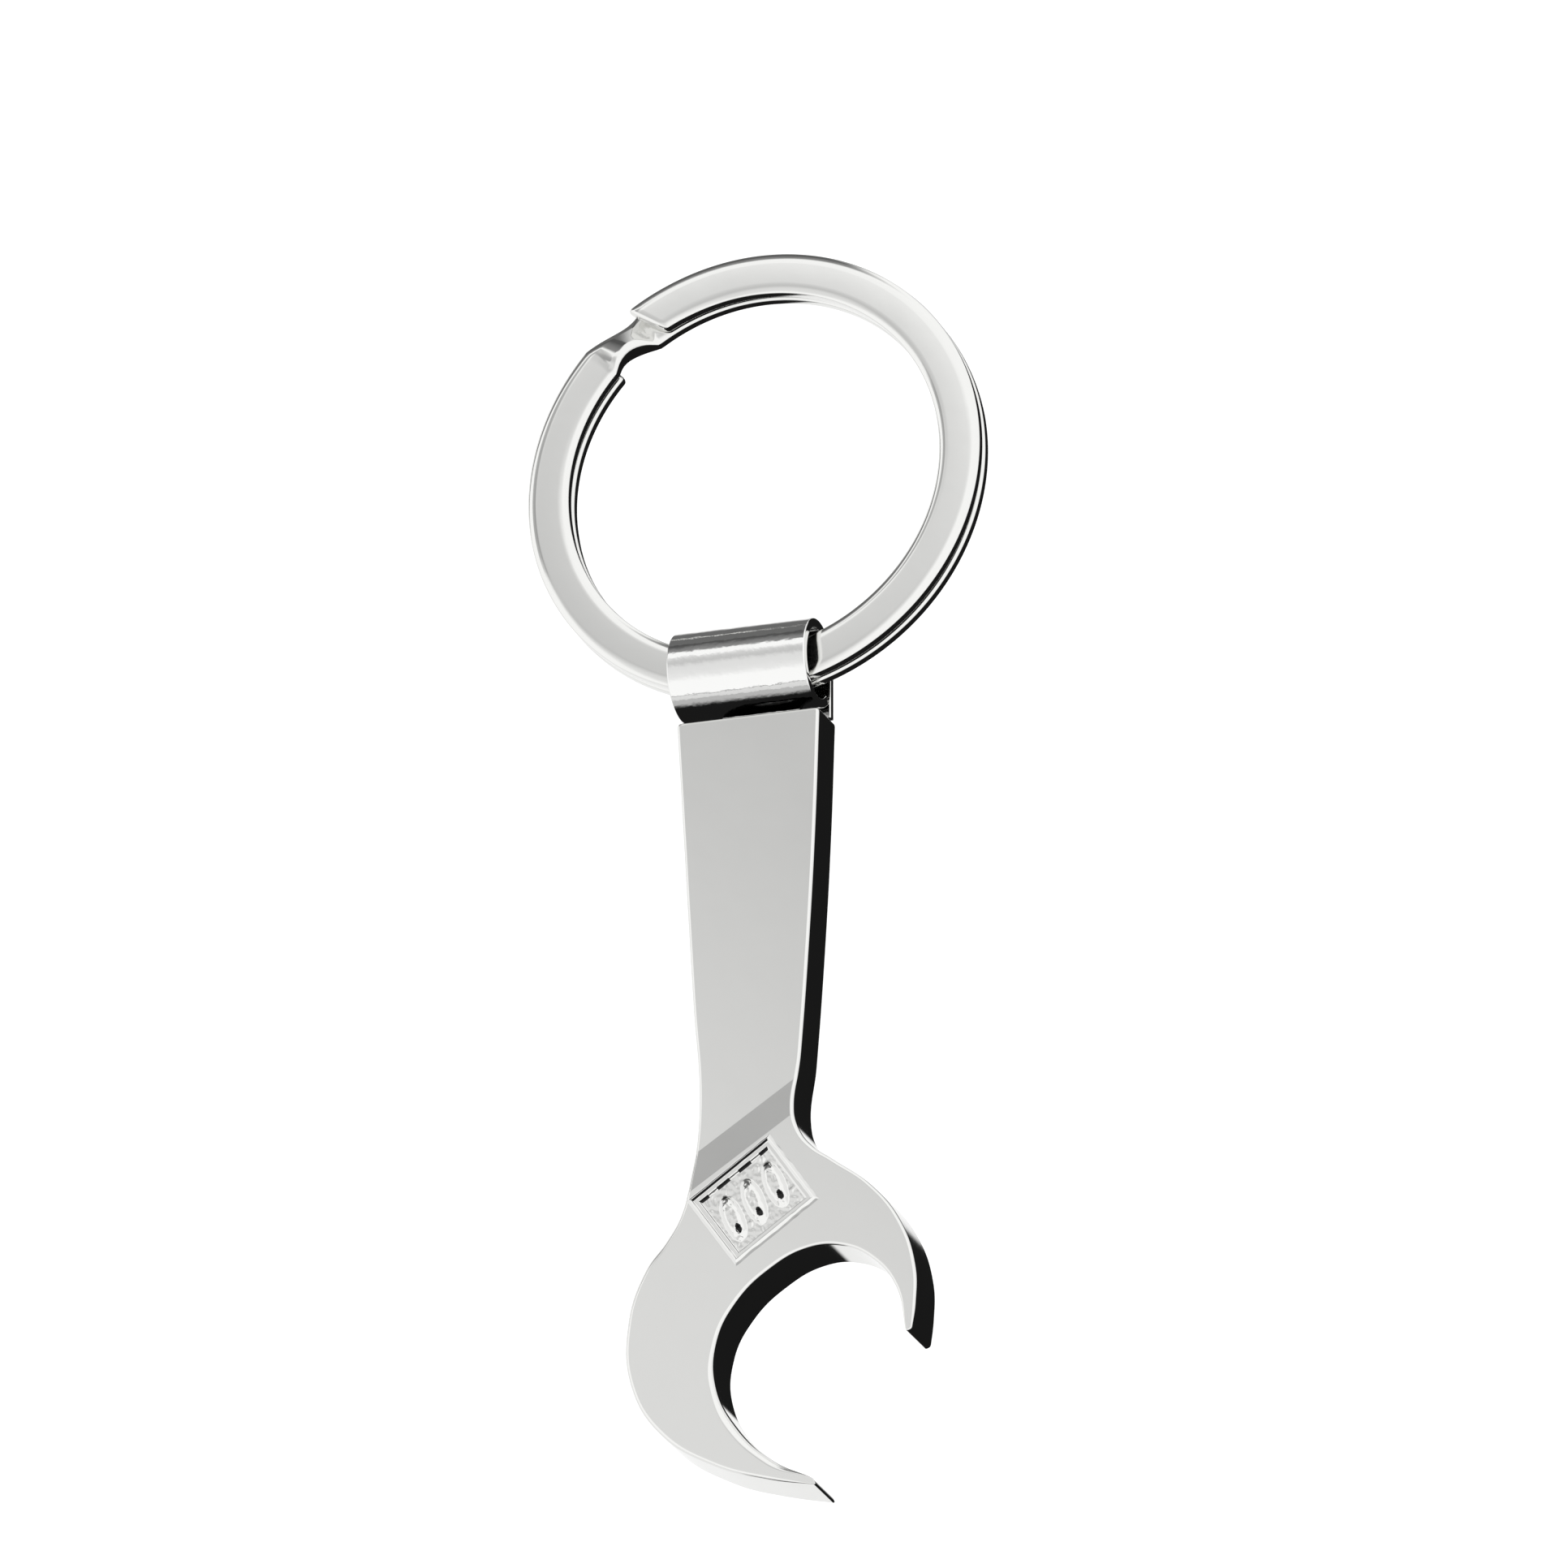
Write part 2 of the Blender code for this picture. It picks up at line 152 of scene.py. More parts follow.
under_object = Matrix.Translation((0, 0, back_z - table_gap))
table = plane("table_top", table_size, table_size, under_object, white)
table.visible_glossy = False

# The room: white all round above the table and dark below it. The white reaches lowest on the two sides,
# the front is grey, and past the table's far side a darker wall stands low behind it.
world = bpy.data.worlds.new("room")
world.use_nodes = True
bpy.context.scene.world = world
tree = world.node_tree
tree.nodes.clear()
out = tree.nodes.new("ShaderNodeOutputWorld")
background = tree.nodes.new("ShaderNodeBackground")
place = tree.nodes.new("ShaderNodeTexCoord")
parts = tree.nodes.new("ShaderNodeSeparateXYZ")
tree.links.new(place.outputs["Generated"], parts.inputs[0])
leaning = multiply_add(tree, math_node(tree, "ABSOLUTE", parts.outputs["X"]), 0.3, parts.outputs["Z"])
leaning = multiply_add(tree, parts.outputs["Y"], 0.2, leaning)
half_y = math_node(tree, "MULTIPLY", parts.outputs["Y"], 0.5)
lit = smooth_step(tree, leaning, -0.26, 0.0)
front = smooth_step(tree, parts.outputs["Y"], -0.6, -0.85)
lit = math_node(tree, "MULTIPLY", lit, multiply_add(tree, front, -0.45, 1.0))
low_left = smooth_step(tree, math_node(tree, "SUBTRACT", half_y, parts.outputs["X"]), 0.24, 0.32)
lit = math_node(tree, "MAXIMUM", lit, low_left)
far_side = smooth_step(tree, parts.outputs["Y"], 0.6, 0.8)
low_down = smooth_step(tree, parts.outputs["Z"], 0.5, 0.3)
left_half = smooth_step(tree, parts.outputs["X"], 0.1, -0.15)
far_wall = math_node(tree, "MULTIPLY", far_side, math_node(tree, "MULTIPLY", low_down, left_half))
wall = multiply_add(tree, far_wall, -0.85, 1.0)
glow = multiply_add(tree, math_node(tree, "MULTIPLY", lit, wall), 1.24, 0.014)
tree.links.new(glow, background.inputs["Strength"])
tree.links.new(background.outputs[0], out.inputs["Surface"])

# The diffuser: a sheet close above the object, seen only in the metal. Its tones run in bands along Y, its
# left and right sides are white, and a grey clip hangs from it on the left.
diffuser_height = 150 * MM
half_reach = 600 * MM
sheet, tree, out = new_nodes("diffuser_bands")
emission = tree.nodes.new("ShaderNodeEmission")
place = tree.nodes.new("ShaderNodeTexCoord")
parts = tree.nodes.new("ShaderNodeSeparateXYZ")
tree.links.new(place.outputs["Object"], parts.inputs[0])
x, y = parts.outputs["X"], parts.outputs["Y"]
ramp = tree.nodes.new("ShaderNodeValToRGB")
in_middle = smooth_step(tree, math_node(tree, "ABSOLUTE", y), 135 * MM, 105 * MM)
skew, most_shift = 0.8, 12 * MM
shift = math_node(tree, "MULTIPLY", multiply_add(tree, x, skew, skew * 52 * MM), in_middle)
shift = math_node(tree, "MINIMUM", shift, most_shift)
shift = math_node(tree, "MAXIMUM", shift, -most_shift)
askew = math_node(tree, "ADD", y, shift)
tree.links.new(multiply_add(tree, askew, 0.5 / half_reach, 0.5), ramp.inputs[0])
side_white = 1.15
tones = (
    (-580, 0.50),
    (-540, 0.80),
    (-306, 0.86),
    (-284, 0.35),
    (-264, 1.15),
    (-66, 1.14),
    (-30, 0.96),
    (2, 0.90),
    (36, 0.87),
    (46, 0.81),
    (55, 0.745),
    (66, 0.65),
    (84, 0.70),
    (98, 0.79),
    (110, 0.92),
    (122, 1.12),
    (175, 1.15),
    (205, 0.30),
    (420, 0.10),
)
while len(ramp.color_ramp.elements) < len(tones):
    ramp.color_ramp.elements.new(0.5)
for stop, (along_y, tone) in zip(ramp.color_ramp.elements, tones):
    stop.position = 0.5 + along_y * MM * 0.5 / half_reach
    stop.color = (tone, tone, tone, 1.0)
bands = tree.nodes.new("ShaderNodeRGBToBW")
tree.links.new(ramp.outputs["Color"], bands.inputs[0])
on_right = smooth_step(tree, x, -38 * MM, 5 * MM)
past_front = smooth_step(tree, y, -150 * MM, -60 * MM)
before_back = smooth_step(tree, y, 230 * MM, 185 * MM)
near_left = math_node(tree, "MULTIPLY", past_front, before_back)
on_left = math_node(tree, "MULTIPLY", smooth_step(tree, x, -80 * MM, -125 * MM), near_left)
sides = math_node(tree, "MAXIMUM", on_right, on_left)
plain = math_node(tree, "SUBTRACT", side_white, bands.outputs[0])
toned = math_node(tree, "MULTIPLY_ADD", sides, plain)
tree.links.new(bands.outputs[0], toned.node.inputs[2])
across_clip = math_node(tree, "ABSOLUTE", math_node(tree, "ADD", x, 117 * MM))
along_clip = math_node(tree, "ABSOLUTE", math_node(tree, "SUBTRACT", y, 126 * MM))
clip = math_node(
    tree,
    "MULTIPLY",
    smooth_step(tree, across_clip, 32 * MM, 20 * MM),
    smooth_step(tree, along_clip, 44 * MM, 33 * MM),
)
toned = math_node(tree, "MULTIPLY", toned, multiply_add(tree, clip, -0.56, 1.0))
tree.links.new(toned, emission.inputs["Strength"])
tree.links.new(emission.outputs[0], out.inputs["Surface"])
over_object = Matrix.Translation((0, 0, diffuser_height))
diffuser = plane("diffuser", 2 * half_reach, 2 * half_reach, over_object, sheet)
diffuser.visible_camera = False
diffuser.visible_diffuse = False
diffuser.visible_shadow = False

# ---------------------------------------------------------------------------------------------------------
# The opener body: one zinc casting in the shape of an adjustable spanner, polished and plated with bright
# chrome. A flat tapered handle climbs by a sloped step to a slightly thicker hooked head.

neck_y = handle_end_y - 17.9 * MM
handle_top_z = back_z + 2.2 * MM
head_top_z = back_z + 2.5 * MM
step_angle = math.radians(33.0)
step_run = 1.4 * MM
step_top_y = neck_y + 0.17 * MM


def plated(name, colour, haze, ripple, ripple_size, ripple_detail=2.0):
    """Bright plate over polished metal: a mirror with faint haze in patches and a slow ripple."""
    made, tree, out = new_nodes(name)
    shader = tree.nodes.new("ShaderNodeBsdfPrincipled")
    shader.inputs["Metallic"].default_value = 1.0
    place = tree.nodes.new("ShaderNodeTexCoord")
    patches = tree.nodes.new("ShaderNodeTexNoise")
    socket_value(patches, "Scale", 320.0)
    socket_value(patches, "Detail", 4.0)
    tree.links.new(place.outputs["Object"], patches.inputs["Vector"])
    hazed = tree.nodes.new("ShaderNodeMapRange")
    socket_value(hazed, "From Min", 0.35)
    socket_value(hazed, "From Max", 0.7)
    socket_value(hazed, "To Min", haze)
    socket_value(hazed, "To Max", haze * 1.8)
    tree.links.new(patches.outputs["Fac"], hazed.inputs["Value"])
    tree.links.new(hazed.outputs["Result"], shader.inputs["Roughness"])
    tint = tree.nodes.new("ShaderNodeMix")
    tint.data_type = "RGBA"
    tint.inputs["A"].default_value = (*colour, 1.0)
    tint.inputs["B"].default_value = (*[value * 0.965 for value in colour], 1.0)
    tree.links.new(patches.outputs["Fac"], tint.inputs["Factor"])
    tree.links.new(tint.outputs["Result"], shader.inputs["Base Color"])
    slow = tree.nodes.new("ShaderNodeTexNoise")
    socket_value(slow, "Scale", 1.0 / ripple_size)
    socket_value(slow, "Detail", ripple_detail)
    tree.links.new(place.outputs["Object"], slow.inputs["Vector"])
    bumped = tree.nodes.new("ShaderNodeBump")
    socket_value(bumped, "Strength", 1.0)
    socket_value(bumped, "Distance", ripple)
    tree.links.new(slow.outputs["Fac"], bumped.inputs["Height"])
    tree.links.new(bumped.outputs["Normal"], shader.inputs["Normal"])
    tree.links.new(shader.outputs["BSDF"], out.inputs["Surface"])
    return made


def outline_points(knots, steps):
    """Dense (x, y, edge radius) points on the smooth closed outline through knots, corners rounded off."""
    curve = bpy.data.curves.new("outline", "CURVE")
    spline = curve.splines.new("BEZIER")
    spline.bezier_points.add(len(knots) - 1)
    for target, (x, y, _, cut_back) in zip(spline.bezier_points, knots):
        target.co = (x, y, 0.0)
        target.handle_left_type = "VECTOR" if cut_back else "AUTO"
        target.handle_right_type = target.handle_left_type
    spline.use_cyclic_u = True
    holder = bpy.data.objects.new("outline", curve)
    bpy.context.scene.collection.objects.link(holder)
    bpy.context.view_layer.update()
    found = []
    least_gap = 0.025 * MM
    ends = spline.bezier_points
    for i in range(len(ends)):
        here, there = ends[i], ends[(i + 1) % len(ends)]
        radius_here, radius_there = knots[i][2], knots[(i + 1) % len(ends)][2]
        stretch = geometry.interpolate_bezier(
            here.co, here.handle_right, there.handle_left, there.co, steps + 1
        )
        for j, point in enumerate(stretch[:-1]):
            share = j / steps
            share = share * share * (3 - 2 * share)
            found.append((point.x, point.y, radius_here + (radius_there - radius_here) * share))
    bpy.data.objects.remove(holder)
    bpy.data.curves.remove(curve)
    for x, y, radius, cut_back in knots:
        if not cut_back:
            continue
        peak = Vector((x, y))
        near = [(Vector(point[:2]) - peak).length < cut_back for point in found]
        first = next(i for i in range(len(near)) if near[i] and not near[i - 1])
        found = found[first:] + found[:first]
        near = near[first:] + near[:first]
        kept = [point for point, close in zip(found, near) if not close]
        start = peak + (Vector(kept[-1][:2]) - peak).normalized() * cut_back
        end = peak + (Vector(kept[0][:2]) - peak).normalized() * cut_back
        for i in range(7):
            share = i / 6
            bend = start * (1 - share) ** 2 + peak * 2 * share * (1 - share) + end * share**2
            kept.append((bend.x, bend.y, radius))
        found = kept
    spaced = []
    for point in found:
        if not spaced or math.dist(point[:2], spaced[-1][:2]) > least_gap:
            spaced.append(point)
    while math.dist(spaced[-1][:2], spaced[0][:2]) < least_gap:
        spaced.pop()
    return spaced


def top_height(x, y):
    """Height of the face: the handle's, then the sloped step, then the head's."""
    climbed = ((step_top_y - y) * math.cos(step_angle) + x * math.sin(step_angle)) / step_run
    soft = 0.015
    if climbed <= -soft:
        share = 0.0
    elif climbed < soft:
        share = (climbed + soft) ** 2 / (4 * soft)
    elif climbed <= 1 - soft:
        share = climbed
    elif climbed < 1 + soft:
        share = 1 - (1 + soft - climbed) ** 2 / (4 * soft)
    else:
        share = 1.0
    return handle_top_z + (head_top_z - handle_top_z) * share


def mm_knots(rows, origin_y):
    return [(x * MM, origin_y + y * MM, radius * MM, cut_back * MM) for x, y, radius, cut_back in rows]


# Clockwise from the handle's top left corner: x, y, radius of the rounded edge, and how far a corner is cut
# back. A knot that is no corner has 0 there.
handle_right = [
    (-3.15, 0.0, 0.14, 0.22),
    (3.15, 0.0, 0.14, 0.22),
    (2.961, -5.37, 0.14, 0),
    (2.664, -10.74, 0.14, 0),
    (2.334, -15.215, 0.14, 0),
]
head = [
    (2.1, 0.1, 0.16, 0),
    (2.4, -0.95, 0.18, 0),
    (2.95, -1.65, 0.18, 0),
    (3.8, -2.3, 0.16, 0),
    (5.5, -3.65, 0.14, 0),
    (6.75, -5.3, 0.14, 0),
    (7.45, -7.4, 0.14, 0),
    (7.47, -9.1, 0.12, 0),
    (7.31, -10.25, 0.06, 0.12),
    (7.04, -10.33, 0.06, 0.12),
    (6.6, -8.3, 0.14, 0),
    (5.6, -6.95, 0.14, 0),
    (4.2, -6.2, 0.14, 0),
    (2.7, -6.15, 0.14, 0),
    (1.0, -6.9, 0.14, 0),
    (-0.5, -8.25, 0.14, 0),
    (-1.3, -9.85, 0.16, 0),
    (-1.33, -11.8, 0.25, 0),
    (-0.45, -13.6, 0.4, 0),
    (1.1, -15.2, 0.36, 0),
    (2.98, -16.31, 0.03, 0.12),
    (3.12, -16.62, 0.03, 0.12),
    (0.9, -16.1, 0.14, 0),
    (-1.4, -15.25, 0.16, 0),
    (-3.8, -13.55, 0.18, 0),
    (-5.05, -11.35, 0.18, 0),
    (-5.2, -8.6, 0.2, 0),
    (-4.45, -6.3, 0.25, 0),
    (-3.55, -5.15, 0.25, 0),
    (-2.85, -4.0, 0.2, 0),
    (-2.42, -2.0, 0.16, 0),
]
handle_left = [
    (-2.156, -17.005, 0.16, 0),
    (-2.432, -12.53, 0.16, 0),
    (-2.8, -6.265, 0.16, 0),
]
knots = mm_knots(handle_right, handle_end_y) + mm_knots(head, neck_y) + mm_knots(handle_left, handle_end_y)
outline = outline_points(knots, 14)


def inward_normals(points):
    """Unit normals that point into the closed, clockwise outline."""
    found = []
    for i, (x, y, _) in enumerate(points):
        before, after = points[i - 1], points[(i + 1) % len(points)]
        into = Vector((x - before[0], y - before[1])).normalized()
        away = Vector((after[0] - x, after[1] - y)).normalized()
        heading = (into + away).normalized()
        found.append(Vector((heading.y, -heading.x)))
    return found


def bridge(solid, loops, closed=True):
    for lower, upper in zip(loops, loops[1:]):
        count = len(lower)
        for i in range(count if closed else count - 1):
            j = (i + 1) % count
            solid.faces.new((lower[i], lower[j], upper[j], upper[i]))


def cap(solid, loop):
    """Fills a closed loop of vertices that lies level, with evenly shaped triangles."""
    flat = [vert.co.xy / MM for vert in loop]
    sides = [(i, (i + 1) % len(loop)) for i in range(len(loop))]
    made = geometry.delaunay_2d_cdt(flat, sides, [], 1, 0.00001)
    faces, origins = made[2], made[3]
    for face in faces:
        solid.faces.new([loop[origins[i][0]] for i in face])


def rounded_plate(points, low_z, high_z, turns=5):
    """A plate with every edge rounded by the radius that its outline gives there."""
    plate = bmesh.new()
    normals = inward_normals(points)
    quarter = [math.pi / 2 * i / turns for i in range(turns + 1)]
    rings = [(low_z, 1, angle) for angle in quarter] + [(high_z, -1, angle) for angle in quarter[::-1]]
    loops = []
    for level, up, angle in rings:
        inset, lift = 1 - math.sin(angle), up * (1 - math.cos(angle))
        loop = []
        for (x, y, radius), normal in zip(points, normals):
            place = Vector((x, y)) + normal * radius * inset
            loop.append(plate.verts.new((place.x, place.y, level + radius * lift)))
        loops.append(loop)
    bridge(plate, loops)
    cap(plate, loops[0])
    cap(plate, loops[-1])
    bmesh.ops.recalc_face_normals(plate, faces=plate.faces)
    return plate


def as_object(name, solid):
    mesh = bpy.data.meshes.new(name)
    solid.to_mesh(mesh)
    solid.free()
    made = bpy.data.objects.new(name, mesh)
    bpy.context.scene.collection.objects.link(made)
    return made


def box_cutter(size, place):
    solid = bmesh.new()
    bmesh.ops.create_cube(solid, size=1.0)
    bmesh.ops.scale(solid, vec=size, verts=solid.verts)
    made = as_object("cutter", solid)
    made.matrix_world = place
    return made


def settle(obj, *cutters, smooth_below=35):
    """Cuts the cutters away, sets smooth shading with flat faces kept flat, and makes that the mesh."""
    for cutter in cutters:
        cut = obj.modifiers.new("cut", "BOOLEAN")
        cut.operation = "DIFFERENCE"
        cut.solver = "EXACT"
        cut.object = cutter
    for stage in (0, 1):
        graph = bpy.context.evaluated_depsgraph_get()
        mesh = bpy.data.meshes.new_from_object(
            obj.evaluated_get(graph), preserve_all_data_layers=True, depsgraph=graph
        )
        obj.modifiers.clear()
        obj.data = mesh
        if stage == 0:
            mesh.shade_smooth()
            mesh.set_sharp_from_angle(angle=math.radians(smooth_below))
            level = obj.modifiers.new("level", "WEIGHTED_NORMAL")
            level.mode = "FACE_AREA"
            level.weight = 100
            level.keep_sharp = True
    for cutter in cutters:
        bpy.data.objects.remove(cutter)
    obj.data.name = obj.name
    return obj


def finished(obj, material, slot, body, *nodes):
    obj.data.materials.clear()
    obj.data.materials.append(material)
    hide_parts(*nodes)
    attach(obj, body)
    return obj


solid = rounded_plate(outline, back_z, handle_top_z)
downhill = Vector((math.sin(step_angle), -math.cos(step_angle), 0))
step_top = Vector((0, step_top_y, 0)).dot(downhill)
hair = 0.001 * MM
for share in (-0.015, 0.0, 0.015, 0.985, 1.0, 1.015):
    level = [face for face in solid.faces if min(vert.co.z for vert in face.verts) > handle_top_z - hair]
    sides = {edge for face in level for edge in face.edges}
    corners = {vert for face in level for vert in face.verts}
    bmesh.ops.bisect_plane(
        solid,
        geom=[*level, *sides, *corners],
        dist=hair,
        plane_co=downhill * (step_top + share * step_run),
        plane_no=downhill,
    )
for vert in solid.verts:
    if vert.co.z > back_z + 1.1 * MM:
        vert.co.z += top_height(vert.co.x, vert.co.y) - handle_top_z
opener = as_object("opener_casting", solid)
window_middle = Matrix.Translation((0.34 * MM, neck_y - 3.76 * MM, head_top_z))
window_place = window_middle @ Matrix.Rotation(math.radians(35), 4, "Z")
recess_place = Matrix.Translation((0, handle_end_y - 2.375 * MM, back_z + 0.2 * MM))
tail_recess = box_cutter(Vector((3.9, 5.75, 0.9)) * MM, recess_place)
hole_place = window_place @ Matrix.Translation((0, 0, 0.05 * MM))
window_hole = box_cutter(Vector((4.1, 3.45, 1.0)) * MM, hole_place)


def lathe(name, profile, steps=48):
    """A solid of revolution about Z from (radius, height) points."""
    solid = bmesh.new()
    loops = []
    for radius, height in profile:
        if radius == 0:
            loops.append([solid.verts.new((0, 0, height))])
            continue
        turns = [math.tau * i / steps for i in range(steps)]
        loops.append([solid.verts.new((radius * math.cos(a), radius * math.sin(a), height)) for a in turns])
    for one, other in zip(loops, loops[1:]):
        for i in range(steps):
            j = (i + 1) % steps
            corners = [one[0]] if len(one) == 1 else [one[i], one[j]]
            corners += [other[0]] if len(other) == 1 else [other[j], other[i]]
            solid.faces.new(corners)
    bmesh.ops.recalc_face_normals(solid, faces=solid.faces)
    return as_object(name, solid)


rivet_y = handle_end_y - 3.3 * MM


def rivet_hole():
    """A cutter for the rivet's countersunk hole."""
    bore = [(0, 1.7), (0.8, 1.7), (0.8, 0.4), (1.2, 0.03), (1.2, -1.0), (0, -1.0)]
    made = lathe("cutter", [(radius * MM, height * MM) for radius, height in bore])
    made.location = (0, rivet_y, back_z)
    return made


casting = plated("chrome_on_casting", (0.80, 0.80, 0.785), 0.07, 0.004 * MM, 2.2 * MM)
settle(opener, tail_recess, window_hole, rivet_hole())


def face_normal(x, y):
    """The face's own normal over (x, y), which bends only at the step's two soft lines."""
    near = 0.002 * MM
    rise_x = (top_height(x + near, y) - top_height(x - near, y)) / (2 * near)
    rise_y = (top_height(x, y + near) - top_height(x, y - near)) / (2 * near)
    return Vector((-rise_x, -rise_y, 1)).normalized()


# The faces and the upright walls keep their own normals right up to the rounded edges between them.
mesh = opener.data
blended = [corner.vector.copy() for corner in mesh.corner_normals]
on_wall = {i for face in mesh.polygons if abs(face.normal.z) < 0.02 for i in face.vertices}
kept = []
for face in mesh.polygons:
    for loop_index, i in zip(face.loop_indices, face.vertices):
        place = mesh.vertices[i].co
        if face.normal.z > 0.7 and place.z > top_height(place.x, place.y) - hair:
            kept.append(face_normal(place.x, place.y))
        elif face.normal.z < -0.7 and place.z < back_z + hair:
            kept.append(Vector((0, 0, -1)))
        elif abs(face.normal.z) < 0.5 and i in on_wall:
            kept.append(Vector((*blended[loop_index].xy, 0)).normalized())
        else:
            kept.append(blended[loop_index])
mesh.normals_split_custom_set(kept)
finished(opener, casting, "plated_casting", "opener", "opener_body")
opener.visible_glossy = False

# ---------------------------------------------------------------------------------------------------------
# The relief that stands for a thumb wheel in its window: a framed shallow recess with three slanted oval
# ridges. It is cast in one with the head, and its corners are a little soft and uneven from the mould.

# In mm, from the window's middle.
window_long, window_wide = 4.5, 3.85
ridge_spacing = 1.12
ridge_slant = math.radians(-13)


def eased(value, start, end):
    share = min(max((value - start) / (end - start), 0.0), 1.0)
    return share * share * (3 - 2 * share)


def into_frame(u, v):
    """How far (u, v) lies inside the frame's nearest side."""
    return min(window_long / 2 - abs(u), window_wide / 2 - abs(v))


def on_ridge(u, v, number):
    """(aside, along) of (u, v) from the middle of a ridge, with along following its slant."""
    du, dv = u - ridge_spacing * number, v + 0.05
    along = -du * math.sin(ridge_slant) + dv * math.cos(ridge_slant)
    aside = du * math.cos(ridge_slant) + dv * math.sin(ridge_slant)
    return aside, along


def relief(u, v):
    """Height over the head's face at (u, v) mm from the window's middle."""
    wobble = 0.02 * noise.noise(Vector((u * 2.3, v * 2.3, 0.0)))
    inward = into_frame(u, v) + wobble
    if inward < 0.2:
        height = -0.04 + 0.22 * math.sin(max(inward, 0.0) / 0.2 * math.pi / 2)
    else:
        height = 0.18 - 0.14 * eased(inward, 0.2, 0.25)
    height -= 0.16 * eased(inward, 0.42, 0.47)
    floor = height
    for number in (-1, 0, 1):
        aside, along = on_ridge(u, v, number)
        out = math.hypot(aside / 0.46, along / 1.12) + 0.8 * wobble
        ridge = floor + 0.26 * max(0.0, 1 - (max(out - 0.42, 0.0) / 0.58) ** 2)
        dent = math.hypot((aside - 0.06) / 0.17, (along + 0.62) / 0.20)
        ridge -= 0.22 * (1 - eased(dent, 0.4, 1.0))
        ridge += 0.06 * noise.noise(Vector((u * 7.0, v * 7.0, 1.0))) * eased(-along, 0.55, 0.8)
        if out < 1:
            height = max(height, ridge) if dent > 1 else ridge
    if inward > 0.48:
        height += 0.02 * noise.noise(Vector((u * 5.0, v * 5.0, 3.0)))
    return height


def painted_shade_at(u, v):
    """Whether (u, v) gets near-black painted shade. It does on the frame's upper steps, as a painted
    shadow, in the dents and at the outer ridges' upper ends.
    """
    inward = into_frame(u, v)
    broken = noise.noise(Vector((u * 1.7, v * 1.7, 7.0)))
    if v > 0 and window_wide / 2 - v < window_long / 2 - abs(u):
        if 0.19 < inward < 0.235 and broken > -0.35:
            return True
        if 0.43 < inward < 0.53 and math.cos(u * 2 * math.pi / ridge_spacing) < 0.25:
            return True
    for number in (-1, 0, 1):
        aside, along = on_ridge(u, v, number)
        if math.hypot((aside - 0.07) / 0.12, (along + 0.58) / 0.20) < 1 + 0.3 * broken:
            return True
        if math.hypot((aside + 0.02) / 0.14, (along - 0.98) / 0.07) < 1 and number:
            return True
    return False


solid = bmesh.new()
rows, columns = 156, 182
loops = []
for i in range(rows + 1):
    v = window_wide * (i / rows - 0.5)
    line = []
    for j in range(columns + 1):
        u = window_long * (j / columns - 0.5)
        line.append(solid.verts.new(window_place @ Vector((u * MM, v * MM, relief(u, v) * MM))))
    loops.append(line)
bridge(solid, loops, closed=False)
bmesh.ops.recalc_face_normals(solid, faces=solid.faces)
local = window_place.inverted()
# Painted shade: faces in a painted shadow on the frame's upper steps, in a ridge's dent or at an outer
# ridge's upper end take the second, near-black material.
for face in solid.faces:
    middle = local @ face.calc_center_median() / MM
    face.material_index = int(painted_shade_at(middle.x, middle.y))
window = as_object("wheel_relief", solid)
window.data.shade_smooth()
marked = [face.material_index for face in window.data.polygons]
finished(window, casting, "plated_casting", "opener", "opener_body")
# The second material, a near-black metal, is the painted shade for those marks.
painted_shade_plate = plated("painted_shade_dark", (0.03, 0.03, 0.03), 0.35, 0.004 * MM, 0.3 * MM)
window.data.materials.append(painted_shade_plate)
window.data.polygons.foreach_set("material_index", marked)
window.visible_glossy = False

# ---------------------------------------------------------------------------------------------------------
# The sleeve for the ring: a chromed steel strip rolled into an eye, with its narrow flat tail let into the
# handle's back. The roll is not perfectly true, so what it mirrors looks slightly torn.

sleeve_radius, bore_radius, half_sleeve = 1.9 * MM, 1.5 * MM, 3.05 * MM
eye_y = handle_end_y + 2.05 * MM
eye_z = back_z + sleeve_radius


def on_arc(radius, degrees):
    angle = math.radians(degrees)
    return (eye_y + radius * math.cos(angle), eye_z + radius * math.sin(angle))


edge = 0.07 * MM
arc_steps = 120
last = 270 - 48.9
outside = [on_arc(sleeve_radius, -90 + (last + 90) * i / arc_steps) for i in range(arc_steps + 1)]
inside = [on_arc(bore_radius, last - (last + 90) * i / arc_steps) for i in range(arc_steps + 1)]
tail_mouth_y = handle_end_y - 0.1 * MM
tail_end_y = handle_end_y - 5.0 * MM
strip_top_z = back_z + 0.4 * MM
tail = [(tail_end_y, strip_top_z), (tail_end_y, back_z)]
below, above = (tail_mouth_y, back_z), (tail_mouth_y, strip_top_z)
section = [(y, z, edge) for y, z in [*tail, below, *outside, *inside, above]]
if sum(a[0] * b[1] - b[0] * a[1] for a, b in zip(section, section[1:] + section[:1])) > 0:
    section.reverse()
solid = rounded_plate(section, -half_sleeve, half_sleeve)
for vert in solid.verts:
    vert.co = vert.co.zxy
bmesh.ops.recalc_face_normals(solid, faces=solid.faces)
sleeve = as_object("ring_sleeve", solid)
trims = [
    box_cutter(
        Vector((2.35, 6.15, 3.8)) * MM,
        Matrix.Translation((side * 2.875 * MM, handle_end_y - 2.925 * MM, back_z)),
    )
    for side in (-1, 1)
]
settle(sleeve, *trims, rivet_hole())
strip = plated("chrome_on_strip", (0.84, 0.84, 0.83), 0.05, 0.014 * MM, 0.5 * MM, 3.0)
finished(sleeve, strip, "plated_strip", "opener", "ring_loop")

